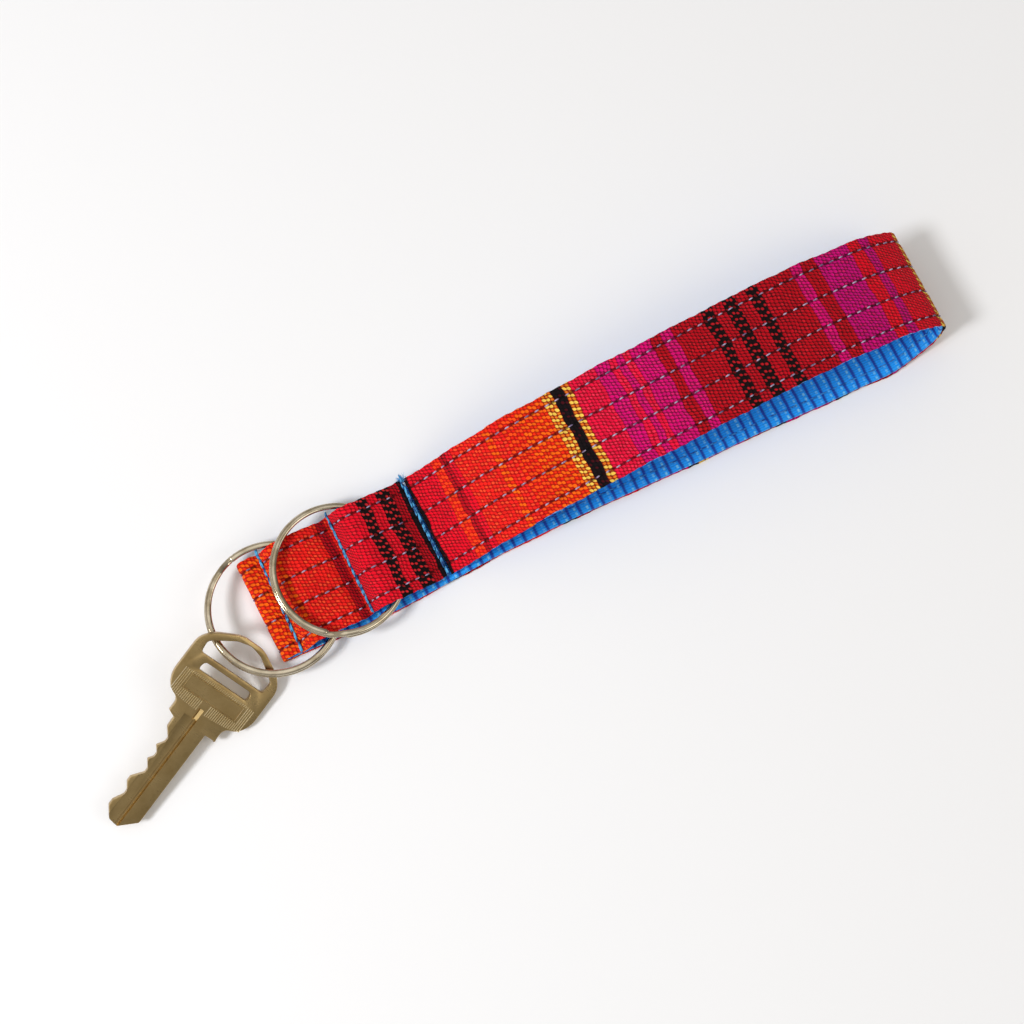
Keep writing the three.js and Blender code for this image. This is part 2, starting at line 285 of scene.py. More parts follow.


# ---- The cover's stripes -------------------------------------------------------------------------
# Each colour: the thread that shows, the other thread, the colour between threads (partly the thread's deeper
# colour, partly painted shade of the weave's hollows), the other thread's share.
CLOTH = {
    "orange": ((255, 104, 12), (240, 44, 12), (196, 24, 6), 0.34),
    "orange_red": ((252, 78, 18), (240, 34, 16), (196, 14, 8), 0.4),
    "red": ((246, 34, 26), (252, 76, 40), (190, 4, 8), 0.2),
    "crimson": ((236, 12, 38), (242, 34, 48), (150, 2, 18), 0.16),
    "deep": ((188, 8, 26), (206, 24, 38), (96, 2, 12), 0.14),
    "bright": ((254, 68, 22), (246, 40, 24), (208, 18, 8), 0.4),
    "pink": ((240, 18, 62), (246, 44, 78), (164, 3, 30), 0.2),
    "magenta": ((220, 8, 112), (230, 30, 110), (134, 3, 66), 0.2),
    "purple": ((206, 8, 118), (214, 20, 104), (122, 3, 68), 0.2),
    "yellow": ((252, 206, 84), (236, 120, 30), (150, 30, 8), 0.42),
    "black": ((22, 11, 15), (70, 10, 20), (10, 5, 8), 0.14),
    "spotted": ((24, 10, 12), (214, 40, 46), (12, 5, 6), 0.3),
    "dark_spotted": ((24, 9, 11), (190, 24, 34), (12, 4, 6), 0.42),
}
# The upper layer from the first pocket to seam 3, each stripe's start in x.
# The deep stripes just before seam 2 and seam 3 are partly the cloth's darker stripe and partly painted shade
# where the pocket slopes down into the seam.
TAB_STRIPES = [
    (-36.6, "orange_red"), (-34.2, "orange"), (-33.2, "red"), (-32.2, "orange"), (-31.5, "red"),
    (-24.6, "red"), (-23.4, "deep"), (-21.4, "red"), (-19.6, "crimson"), (-12.4, "spotted"),
    (-9.8, "crimson"), (-7.3, "spotted"), (-4.7, "deep"), (-2.0, "black"),
]
# The upper layer of the wrist loop.
LOOP_STRIPES = [
    (0, "black"), (0.7, "crimson"), (7.5, "bright"), (9.7, "deep"), (11.4, "crimson"), (13, "red"),
    (20.5, "orange"), (22, "red"), (25.3, "orange_red"), (29.5, "orange"), (36.4, "yellow"),
    (38.5, "black"), (41.2, "yellow"),
    (43.3, "pink"), (50.6, "magenta"), (53.4, "pink"), (55.6, "magenta"), (57.0, "pink"), (58.4, "magenta"),
    (64.0, "deep"), (66.6, "magenta"), (69.3, "deep"), (77.5, "dark_spotted"), (80, "deep"),
    (82.8, "dark_spotted"), (85.6, "deep"), (88.5, "dark_spotted"), (91.4, "deep"), (100.4, "magenta"),
    (103.2, "deep"),
]
FAR_STRIPES = [(106.2, "purple"), (114.8, "crimson"), (117.5, "purple"), (120.0, "crimson")]
# From just short of the far fold round to the ring end, each stripe's colour and its width along the band.
UNDER_STRIPES = [
    ("yellow", 2.3), ("black", 3.4), ("yellow", 2.2), ("crimson", 9), ("purple", 4), ("deep", 12),
    ("dark_spotted", 3),
    ("purple", 13), ("black", 3), ("deep", 8), ("purple", 10), ("yellow", 2), ("black", 3), ("magenta", 12),
    ("crimson", 9), ("deep", 8), ("spotted", 3), ("red", 12), ("orange_red", 7), ("deep", 9), ("spotted", 3),
    ("crimson", 12), ("red", 9), ("deep", 8), ("red", 22), ("yellow", 2), ("orange", 20),
]


FOLD_STRIPE = 6  # the stripe at the ring end starts this far before it
RAMP_STOPS = 30  # a colour ramp holds 32 at most


def stripe_list():
    """Every stripe's start along the band, with its colour's name."""
    found = [(band.u_of_x(x), name) for x, name in LOOP_STRIPES + FAR_STRIPES]
    u = band.u_of_x(FAR - 1.7)
    tab = [(band.u_of_x(x, tab=True), name) for x, name in TAB_STRIPES]
    for name, width in UNDER_STRIPES:
        if u < band.end - FOLD_STRIPE - 1:
            found.append((u, name))
        u += width
    return found + [(band.end - FOLD_STRIPE, "orange")] + tab


def cloth_material():
    n = Nodes("woven_cotton")
    u, v = n.uv()
    place = n.join(u, v)
    u_wave = n.math("ADD", u, n.fit(n.noise(place, 0.16), 0, 1, -0.9, 0.9))
    v_wave = n.math("ADD", v, n.fit(n.noise(place, 0.22), 0, 1, -0.5, 0.5))
    row_at = n.math("DIVIDE", u_wave, ROW_PITCH)
    row = n.math("FLOOR", row_at)
    along = n.math("SUBTRACT", n.math("FRACT", row_at), 0.5)
    half = n.math("MULTIPLY", n.math("MODULO", n.math("ADD", row, 1000.0), 2.0), 0.5)
    column_at = n.math("ADD", n.math("DIVIDE", v_wave, COLUMN_PITCH), half)
    column = n.math("FLOOR", column_at)
    across = n.math("SUBTRACT", n.math("FRACT", column_at), 0.5)
    slant = n.math("ADD", along, n.math("MULTIPLY", across, 0.35))
    far = n.math(
        "ADD", n.math("POWER", n.math("DIVIDE", n.math("ABSOLUTE", slant), 0.50), 2.4),
        n.math("POWER", n.math("DIVIDE", n.math("ABSOLUTE", across), 0.54), 2.4),
    )
    dome = n.math("SQRT", n.math("SUBTRACT", 1.0, far, clamp=True))
    chance = n.random(row, column)
    shade = n.random(column, row)
    # the stripes, read at the middle of each row so that they step with the weave
    snapped = n.math("MULTIPLY", n.math("ADD", row, 0.5), ROW_PITCH)
    at = n.math("ADD", n.math("MULTIPLY", snapped, 0.9), n.math("MULTIPLY", u, 0.1))
    stripes = stripe_list()
    front = back = gap_and_shade = share = None
    for start in range(0, len(stripes), RAMP_STOPS):
        after = start + RAMP_STOPS
        part = stripes[start:after]
        low = part[0][0]
        high = stripes[after][0] if after < len(stripes) else band.length + 1
        place_in = n.fit(at, low, high, 0, 1)
        found = []
        for which in range(3):
            stops = [(max(0, (s - low) / (high - low)), srgb(*CLOTH[c][which], CLOTH[c][3])) for s, c in part]
            found.append(n.ramp(place_in, stops))
        colours = [f[0] for f in found]
        if front is None:
            front, back, gap_and_shade, share = *colours, found[0][1]
            continue
        later = n.math("GREATER_THAN", at, low)
        front, back, gap_and_shade = (n.mix(later, old, new) for old, new in zip((front, back, gap_and_shade), colours))
        share = n.math("ADD", n.math("MULTIPLY", share, n.math("SUBTRACT", 1.0, later)),
                       n.math("MULTIPLY", found[0][1], later))
    odd = n.math("MODULO", n.math("ADD", column, 1000.0), 2.0)
    pick = n.math("MULTIPLY", n.math("ADD", odd, n.math("MULTIPLY", chance, 0.55)), 0.5)
    other = n.math("LESS_THAN", pick, share)
    # the other thread shows as smaller flecks
    shows = n.math("SUBTRACT", dome, n.math("MULTIPLY", other, 0.32))
    # painted shade: the weave's hollows, low on each dome, take the darker between-threads colour
    colour = n.mix(n.fit(shows, 0.18, 0.68, 0, 1, smooth=True), gap_and_shade, n.mix(other, front, back))
    level = n.fit(shade, 0, 1, 0.88, 1.1)
    fibre = n.noise(n.join(u, n.math("MULTIPLY", v, 3.2)), 2.6, detail=3)
    level = n.math("MULTIPLY", level, n.fit(fibre, 0.3, 0.7, 0.9, 1.06))
    patch = n.noise(place, 0.11, detail=3)
    level = n.math("MULTIPLY", level, n.fit(patch, 0.3, 0.7, 0.93, 1.05))
    # painted shade: each stitch row lies in a crease, and the cloth's colour is darkened along it, most
    # between stitches
    near = n.math("ABSOLUTE", n.math("SUBTRACT", n.math("ABSOLUTE", v), OUTER_ROW))
    near = n.math("MINIMUM", near, n.math("ABSOLUTE", n.math("SUBTRACT", n.math("ABSOLUTE", v), INNER_ROW)))
    crease = n.fit(near, 0.16, 0.5, 1.0, 0.0, smooth=True)
    step = n.math("ABSOLUTE", n.math("SUBTRACT", n.math("FRACT", n.math("DIVIDE", u, STITCH)), 0.5))
    hole = n.fit(step, 0.34, 0.2, 0.22, 1.0, smooth=True)
    dark = n.math("MULTIPLY", n.math("MULTIPLY", crease, hole), 0.74)
    level = n.math("MULTIPLY", level, n.math("SUBTRACT", 1.0, dark))
    colour = n.mix(1.0, colour, n.join(level, level, level), blend="MULTIPLY")
    height = n.math("ADD", dome, n.math("MULTIPLY", fibre, 0.35))
    n.bump(height, 0.3, 0.9)
    n.set(Base_Color=colour, Roughness=0.86)
    n.shader.inputs["Sheen Weight"].default_value = 0.03
    n.shader.inputs["Sheen Roughness"].default_value = 0.5
    n.shader.inputs["Specular IOR Level"].default_value = 0.12
    return n.material


def webbing_material():
    n = Nodes("blue_webbing")
    u, v = n.uv()
    place = n.join(u, v)
    wob = n.fit(n.noise(place, 0.3), 0, 1, -0.35, 0.35)
    rib_at = n.math("DIVIDE", n.math("ADD", u, wob), RIB)
    rib = n.math("FRACT", rib_at)
    ribs = n.math("FLOOR", rib_at)
    base = n.mix(n.fit(rib, 0.62, 0.8, 0, 1, smooth=True), srgb(0, 158, 252), srgb(0, 66, 170))
    base = n.mix(n.fit(rib, 0.9, 1.0, 0, 1, smooth=True), base, srgb(0, 136, 236))
    cell_at = n.math("ADD", n.math("DIVIDE", v, 1.25), n.math("MULTIPLY", ribs, 0.37))
    cell = n.math("ABSOLUTE", n.math("SUBTRACT", n.math("FRACT", cell_at), 0.5))
    dash = n.math("MULTIPLY", n.fit(cell, 0.4, 0.24, 0, 1, smooth=True),
                  n.fit(n.math("ABSOLUTE", n.math("SUBTRACT", rib, 0.2)), 0.13, 0.05, 0, 1, smooth=True))
    dash = n.math("MULTIPLY", dash, n.fit(n.random(n.math("FLOOR", cell_at), ribs), 0, 1, 0.35, 1.0))
    colour = n.mix(dash, base, srgb(130, 214, 255))
    grain = n.noise(n.join(n.math("MULTIPLY", u, 3.0), v), 2.4, detail=3)
    lines = n.math("SINE", n.math("MULTIPLY", v, 11.0))
    fine = n.fit(lines, -1, 1, 0.86, 1.08)
    level = n.math("MULTIPLY", n.fit(grain, 0.3, 0.7, 0.8, 1.15), fine)
    colour = n.mix(1.0, colour, n.join(level, level, level), blend="MULTIPLY")
    height = n.math("ADD", n.math("MULTIPLY", dash, 0.6), n.math("MULTIPLY", lines, 0.25))
    height = n.math("ADD", height, n.math("MULTIPLY", grain, 0.5))
    n.bump(height, 0.16, 0.8)
    n.set(Base_Color=colour, Roughness=0.55)
    n.shader.inputs["Sheen Weight"].default_value = 0.1
    n.shader.inputs["Specular IOR Level"].default_value = 0.4
    return n.material


def thread_material(name, light, dark, share=0.5):
    n = Nodes(name)
    spot = n.add("ShaderNodeTexCoord").outputs["Object"]
    patch = n.fit(n.noise(spot, 900.0), share - 0.12, share + 0.12, 0, 1, smooth=True)
    fuzz = n.noise(spot, 5200.0, detail=2)
    colour = n.mix(patch, srgb(*light), srgb(*dark))
    level = n.fit(fuzz, 0.3, 0.7, 0.78, 1.12)
    n.set(Base_Color=n.mix(1.0, colour, n.join(level, level, level), blend="MULTIPLY"), Roughness=0.6)
    n.bump(fuzz, 0.06, 0.7)
    n.shader.inputs["Specular IOR Level"].default_value = 0.35
    return n.material


def metal_material(name, colour, second, rough, scratch_scale, bump):
    n = Nodes(name)
    spot = n.add("ShaderNodeTexCoord").outputs["Object"]
    stretched = n.add("ShaderNodeMapping")
    n.plug(stretched.inputs[0], spot)
    stretched.inputs["Scale"].default_value = (1, 6, 1)
    cloud = n.noise(spot, 160.0, detail=5, rough=0.6)
    marks = n.noise(stretched.outputs[0], scratch_scale, detail=4, rough=0.6)
    mixed = n.mix(n.fit(cloud, 0.35, 0.7, 0, 1, smooth=True), srgb(*colour), srgb(*second))
    clouded = n.fit(cloud, 0.3, 0.7, rough - 0.05, rough + 0.07)
    marked = n.fit(marks, 0.3, 0.7, -0.03, 0.05)
    n.set(Base_Color=mixed, Metallic=1.0, Roughness=n.math("ADD", clouded, marked))
    n.bump(marks, bump, 0.5)
    return n.material


cloth = cloth_material()
webbing = webbing_material()
needle_thread = thread_material("topstitch_thread", (184, 172, 200), (112, 92, 128), 0.5)
bobbin_thread = thread_material("bobbin_thread", (70, 150, 220), (24, 84, 170), 0.5)
seam_thread = thread_material("seam_thread", (84, 176, 226), (18, 70, 130), 0.52)
nickel = metal_material("nickel_plate", (210, 198, 174), (160, 144, 116), 0.1, 700.0, 0.0015)
brass = metal_material("worn_brass", (188, 162, 112), (164, 138, 90), 0.3, 900.0, 0.004)
bright_brass = metal_material("rubbed_brass", (250, 238, 206), (232, 214, 172), 0.26, 900.0, 0.004)


# ---- The band ------------------------------------------------------------------------------------
def swept(name, path, section, material, shape):
    """A closed body along the route: section is [(across, out, outer share)], and shape() moves points."""
    verts, uv = [], []
    count = len(section)
    for i, u in enumerate(path.at):
        p, o = path.line[i], path.out[i]
        for across, out, share in section:
            dv, dh = shape(u, across, share)
            verts.append(p + o * (out + dh) + np.array([0, across + dv, 0]))
            uv.append((u, across))
    n = len(path.at)
    faces = []
    for i in range(n - 1):
        a, b = i * count, (i + 1) * count
        faces += [(a + j, a + (j + 1) % count, b + (j + 1) % count, b + j) for j in range(count)]
    faces.append(tuple(range(count - 1, -1, -1)))
    faces.append(tuple((n - 1) * count + j for j in range(count)))
    return new_mesh(name, verts, faces, material, uv)


def rounded_section(half, inner, outer, across_step, inner_cells):
    """Counter-clockwise, from the inner face's +v end: a flat section with round edges."""
    radius = (outer - inner) / 2
    flat = half - radius
    outer_cells = int(2 * flat / across_step)
    inside = [(v, inner, 0.0) for v in np.linspace(flat, -flat, inner_cells + 1)]
    edge_low = [(-flat - radius * math.sin(a), inner + radius - radius * math.cos(a), (1 - math.cos(a)) / 2)
                for a in np.linspace(0, math.pi, 7)[1:-1]]
    outside = [(v, outer, 1.0) for v in np.linspace(-flat, flat, outer_cells + 1)]
    edge_high = [(flat + radius * math.sin(a), inner + radius + radius * math.cos(a), (1 + math.cos(a)) / 2)
                 for a in np.linspace(0, math.pi, 7)[1:-1]]
    return inside + edge_low + outside + edge_high


SEAM_U = [band.u_of_x(SEAM_1, tab=True), band.u_of_x(SEAM_2, tab=True), 0.0, band.length]


def cover_shape(u, v, share):
    """The crease along each stitch row, the puckers beside it, and the edge's small waves."""
    near = min(abs(abs(v) - OUTER_ROW), abs(abs(v) - INNER_ROW))
    beat = math.cos(2 * math.pi * (u / STITCH))
    crease = -(0.26 + 0.08 * beat) * math.exp(-((near / 0.5) ** 2))
    pucker = 0.07 * beat * math.exp(-((near / 1.5) ** 2))
    swell = 0.11 * wave(u, v, 0.16, 1) + 0.06 * wave(u, v, 0.55, 2)
    lift = share * (crease + pucker + swell + 0.04)
    seam = min(abs(u - s) for s in SEAM_U)
    lift -= share * 0.22 * math.exp(-((seam / 0.8) ** 2))
    side = 0.28 * wave(u, 0, 0.12, 3) + 0.12 * wave(u, 0, 0.5, 4) - 0.05 * beat
    return side * (v / HALF) ** 2, lift


def webbing_shape(u, v, share):
    rib = 0.5 + 0.5 * math.cos(2 * math.pi * (u / RIB - 0.2))
    return 0.08 * wave(u, v, 0.2, 5), (1 - share) * (-0.14 * rib + 0.06 * wave(u, v, 0.3, 6))


cover = swept("woven_cover_cloth", band,
              rounded_section(HALF, SKIN + 0.02, COVER_THICK, 0.44, 4), cloth, cover_shape)
settle(cover, "strap", "woven_cover")
strip = swept("webbing_ribbed", coarse,
              rounded_section(HALF - 0.15, -WEB_THICK + 0.1, 0.0, 0.8, 40), webbing, webbing_shape)
settle(strip, "strap", "webbing_strip")


# ---- Thread --------------------------------------------------------------------------------------
def tube(points, radius, sides, up):
    """Vertices and faces of a closed tube along the points; radius is one value per point."""
    points = np.array(points, float)
    tangent = np.gradient(points, axis=0)
    tangent /= np.linalg.norm(tangent, axis=1)[:, None]
    verts = []
    for p, t, r in zip(points, tangent, radius):
        side = np.cross(t, up)
        side /= np.linalg.norm(side)
        over = np.cross(side, t)
        for k in range(sides):
            a = 2 * math.pi * k / sides
            verts.append(p + side * (r * math.cos(a)) + over * (r * math.sin(a)))
    faces = []
    for i in range(len(points) - 1):
        for k in range(sides):
            a, b = i * sides + k, i * sides + (k + 1) % sides
            faces.append((a, b, b + sides, a + sides))
    last = (len(points) - 1) * sides
    faces.append(tuple(range(sides - 1, -1, -1)))
    faces.append(tuple(range(last, last + sides)))
    return verts, faces


def gather(parts):
    verts, faces = [], []
    for some_verts, some_faces in parts:
        base = len(verts)
        verts += list(some_verts)
        faces += [tuple(i + base for i in face) for face in some_faces]
    return verts, faces


def stitch_row(name, v, outer, material, node):
    """Single stitches along the band, each rising out of the cloth and going back in."""
    parts = []
    count = int((band.length - 1) / STITCH)
    for i in range(1, count):
        middle = i * STITCH
        if outer and min(abs(middle - s) for s in SEAM_U) < 0.9:
            continue
        drift = random.uniform(-0.07, 0.07)
        reach = random.uniform(0.5, 0.66) if outer else random.uniform(0.8, 1.0)
        level = COVER_THICK - 0.2 if outer else -WEB_THICK + 0.02
        rise = 0.2 if outer else -0.1
        ts = np.linspace(-1, 1, 7)
        line = [band.point(middle + reach * t, v + drift + 0.05 * t,
                           level + rise * (1 - t * t) - 0.05 * t * t) for t in ts]
        size = [0.19 * (1 - 0.55 * abs(t) ** 4) for t in ts]
        parts.append(tube(line, size, 6, (0, 1, 0)))
    verts, faces = gather(parts)
    settle(new_mesh(name, verts, faces, material), "strap", node)


for number, v in enumerate(ROWS, 1):
    stitch_row(f"needle_stitches_{number}", v, True, needle_thread,
               f"topstitch_thread_{number}")
    stitch_row(f"bobbin_stitches_{number}", v, False, bobbin_thread,
               f"bobbin_thread_{number}")


def cross_seam(number, u, slant):
    """Two passes of stitches across the band."""
    parts = []
    for lane in (-0.2, 0.2):
        edge = -12.3 - random.uniform(0, 0.3)
        while edge < 11.6:
            reach = random.uniform(1.0, 1.3)
            jog = random.uniform(-0.12, 0.12)
            ts = np.linspace(-1, 1, 7)
            line = []
            for t in ts:
                v = edge + reach * (1 + t)
                lean = slant * v / HALF
                line.append(band.point(min(max(u + lane + jog + 0.12 * t + lean, 0.0), band.length), v,
                                       COVER_THICK - 0.02 + 0.24 * (1 - t * t)))
            parts.append(tube(line, [0.21 * (1 - 0.5 * abs(t) ** 4) for t in ts], 7, (1, 0, 0.01)))
            edge += 2 * reach + 0.08
    verts, faces = gather(parts)
    made = new_mesh(f"seam_stitches_{number}", verts, faces, seam_thread)
    settle(made, "strap", f"cross_seam_thread_{number}")


cross_seam(1, SEAM_U[0] + 0.5, 0.6)
cross_seam(2, SEAM_U[1] + 0.6, 0.45)
cross_seam(3, band.length - 0.15, 0.0)


def fibres(name, root, heading, count, length, radius, spread, material):
    """A tuft of short curved fibres."""
    parts = []
    heading = np.array(heading, float)
    ts = np.linspace(0, 1, 6)
    for _ in range(count):
        lean = heading + np.array([random.gauss(0, spread) for _ in range(3)])
        lean /= np.linalg.norm(lean)
        bend = np.array([random.gauss(0, 0.45) for _ in range(3)])
        scatter = np.array([random.gauss(0, 0.3), random.gauss(0, 0.15), random.gauss(0, 0.22)])
        start = np.array(root) + scatter
        size = length * random.uniform(0.5, 1.0)
        line = [start + lean * size * t + bend * size * t * t * 0.5 for t in ts]
        parts.append(tube(line, [radius * (1 - 0.6 * t) for t in ts], 5, (0.3, 0.2, 0.9)))
    return new_mesh(name, *gather(parts), material)


fray_thread = thread_material("webbing_fray", (110, 196, 240), (24, 104, 190), 0.5)
tuft_at = band.point(band.length, HALF - 0.5, 0.1)
tuft = fibres("webbing_tuft", tuft_at, (0, 1, 0.1), 150, 1.5, 0.05, 0.55, fray_thread)
settle(tuft, "strap", None)


# ---- Split rings ---------------------------------------------------------------------------------
RING_OUT, WIRE, COIL, COIL_GAP = 16.0, 1.7, 1.0, 0.1
COIL_RAMP = 16.0  # degrees over which the wire climbs
STAGGER = 0.12  # the low coil is this far out, and the high coil this far in
JOINT = {j["name"]: j for j in frame["joints"]}


def joint_place(name):
    return Vector(JOINT[name]["pos_m"]), Vector(JOINT[name]["axis"]).normalized()


def split_ring(name, node, joint, ramp_at, body):
    """Nearly two turns of wire with tapered ends: a low coil, a climb at the ramp, then a high coil."""
    centre, axis = joint_place(joint)
    if axis.z < 0:
        axis = -axis
    tilt = math.atan2(axis.x, axis.z)
    steps, sides = 150, 18
    middle = RING_OUT - WIRE / 2 - 0.02
    climb = COIL + COIL_GAP
    turn = 2 * 360 - COIL_RAMP
    verts = []
    for i in range(steps * 2 + 1):
        degrees = turn * i / (steps * 2)
        t = min(max((degrees - (360 - COIL_RAMP)) / COIL_RAMP, 0), 1)
        z = -climb / 2 + climb * t * t * (3 - 2 * t)
        angle = math.radians(ramp_at + degrees)
        end = min(degrees, turn - degrees) / 1.6
        size = 0.8 + 0.2 * min(end, 1.0) ** 0.5
        for k in range(sides):
            a = 2 * math.pi * (k + 0.5) / sides
            ca, sa = math.cos(a), math.sin(a)
            x = math.copysign(abs(ca) ** 0.8, ca) * (WIRE / 2 - STAGGER) * size
            y = math.copysign(abs(sa) ** 0.8, sa) * COIL / 2 * size
            r = middle + x + STAGGER * (1 - 2 * t)
            verts.append((r * math.cos(angle), r * math.sin(angle), z + y))
    faces = []
    for i in range(steps * 2):
        for k in range(sides):
            a, b = i * sides + k, i * sides + (k + 1) % sides
            faces.append((a, a + sides, b + sides, b))
    last = steps * 2 * sides
    faces.append(tuple(range(sides)))
    faces.append(tuple(range(last + sides - 1, last - 1, -1)))
    obj = new_mesh(name, verts, faces, nickel)
    obj.matrix_world = Matrix.Translation(centre) @ Matrix.Rotation(tilt, 4, "Y")
    settle(obj, body, node)


split_ring("key_ring_coils", "key_split_ring", "key_ring_turn", 122, "key_ring")
split_ring("spare_ring_coils", "spare_split_ring", "spare_ring_turn", 250, "spare_ring")


# ---- House key -----------------------------------------------------------------------------------
# In millimetres. BOW is half its width, SHOULDER is measured from the tip, BLADE_MID is the blade's middle.
KEY_THICK, BOW, BLADE, SHOULDER, BLADE_MID = 1.8, 11.2, 8.4, 28.4, -0.4
KEY_HOLE, KEY_ABOVE = 45.9, -0.05  # where the wire passes: from the tip, and above the key's middle
KEY_HEADING, KEY_PITCH, KEY_ROLL = 25.7, 3.8, 25.0
# The cut edge from shoulder to tip, each point (from the tip, depth below the blade's edge).
CUTS = [
    (25.2, 0.1), (23.1, 1.9), (22.0, 1.9), (20.3, 0.7), (18.9, 1.9), (17.8, 1.9), (16.6, 1.0), (14.8, 2.4),
    (13.7, 2.4), (11.2, 0.3), (9.9, 0.3), (8.1, 1.6), (7.0, 1.6), (4.6, 0.2), (3.2, 0.2), (0.6, 2.2),
]


def soften(points, radius, n=4):
    """The closed polygon with each corner rounded."""
    out = []
    for i, p in enumerate(points):
        p = Vector(p)
        before, after = Vector(points[i - 1]) - p, Vector(points[(i + 1) % len(points)]) - p
        r = min(radius, before.length * 0.45, after.length * 0.45)
        a, b = p + before.normalized() * r, p + after.normalized() * r
        for t in np.linspace(0, 1, n):
            out.append(tuple(a * (1 - t) ** 2 + p * (2 * t * (1 - t)) + b * t * t))
    return out


def key_outline():
    left, right = BLADE_MID - BLADE / 2, BLADE_MID + BLADE / 2
    neck = soften([(right - 1.0, 1.4), (right, 3.6), (right, SHOULDER - 0.1), (6.5, SHOULDER - 0.1)], 0.3, 3)
    half_bow = soften([(6.5, SHOULDER), (6.5, 31.8), (9.6, 32.9), (BOW + 0.1, 36.0), (BOW + 0.1, 46.0),
                       (9.0, 48.9), (3.0, 51.9), (0, 52.0)], 2.4, 7)[7:-7]
    bow = half_bow + [(-x, y) for x, y in reversed(half_bow)]
    left_side = [(-6.5, SHOULDER + 0.2), (left, SHOULDER - 0.6)] + [(left + depth, at) for at, depth in CUTS]
    return [(0, 0.1)] + neck[3:] + bow + soften([(-6.5, 31)] + left_side + [(0, 0.1)], 0.22, 3)[3:-3]


def closed_curve(curve, points):
    spline = curve.splines.new("POLY")
    spline.points.add(len(points) - 1)
    for target, (x, y) in zip(spline.points, points):
        target.co = (x, y, 0, 1)
    spline.use_cyclic_u = True


def plate(name, outlines, thick, bevel, material):
    """A flat plate with bevelled edges, from its outline and its windows."""
    curve = bpy.data.curves.new(name, "CURVE")
    curve.dimensions = "2D"
    curve.fill_mode = "BOTH"
    curve.extrude = thick / 2 - bevel
    curve.bevel_depth = bevel
    curve.bevel_resolution = 2
    curve.offset = -bevel
    for points in outlines:
        closed_curve(curve, points)
    made = bpy.data.objects.new(name, curve)
    bpy.context.scene.collection.objects.link(made)
    bpy.context.view_layer.update()
    mesh = bpy.data.meshes.new_from_object(made.evaluated_get(bpy.context.evaluated_depsgraph_get()))
    bpy.data.objects.remove(made)
    body = bmesh.new()
    body.from_mesh(mesh)
    bmesh.ops.remove_doubles(body, verts=body.verts, dist=1e-4)
    bmesh.ops.recalc_face_normals(body, faces=body.faces)
    body.to_mesh(mesh)
    body.free()
    mesh.materials.clear()
    mesh.materials.append(material)
    obj = bpy.data.objects.new(name, mesh)
    bpy.context.scene.collection.objects.link(obj)
    return obj


def prism(points, y0, y1, lean=0.0):
    """A bar along y: its section is a list of (x, z)."""
    n = len(points)
    verts = [(x, y0, z) for x, z in points] + [(x + lean, y1, z) for x, z in points]
    faces = [(k, (k + 1) % n, (k + 1) % n + n, k + n) for k in range(n)]
    faces += [tuple(range(n - 1, -1, -1)), tuple(range(n, 2 * n))]
    return verts, faces


def cut_away(obj, cutter):
    """Takes the cutter's solid away from the plate, both in millimetres."""
    verts, faces = cutter
    tool = new_mesh("cutter", np.array(verts) / MM, faces, brass, smooth=False)
    body = bmesh.new()
    body.from_mesh(tool.data)
    bmesh.ops.recalc_face_normals(body, faces=body.faces)
    body.to_mesh(tool.data)
    body.free()
    modifier = obj.modifiers.new("cut", "BOOLEAN")
    modifier.operation = "DIFFERENCE"
    modifier.solver = "EXACT"
    modifier.object = tool
    bpy.context.view_layer.update()
    mesh = bpy.data.meshes.new_from_object(obj.evaluated_get(bpy.context.evaluated_depsgraph_get()))
    obj.modifiers.clear()
    obj.data = mesh
    bpy.data.objects.remove(tool)


def bar_across(y, top):
    """A low raised line across the bow."""
    section = ((-0.12, -0.05), (0.12, -0.05), (0, 0.13))
    verts = [(x, y + dy, top + dz) for x in (-7.4, 7.4) for dy, dz in section]
    return verts, [(0, 1, 2), (5, 4, 3), (0, 3, 4, 1), (1, 4, 5, 2), (2, 5, 3, 0)]


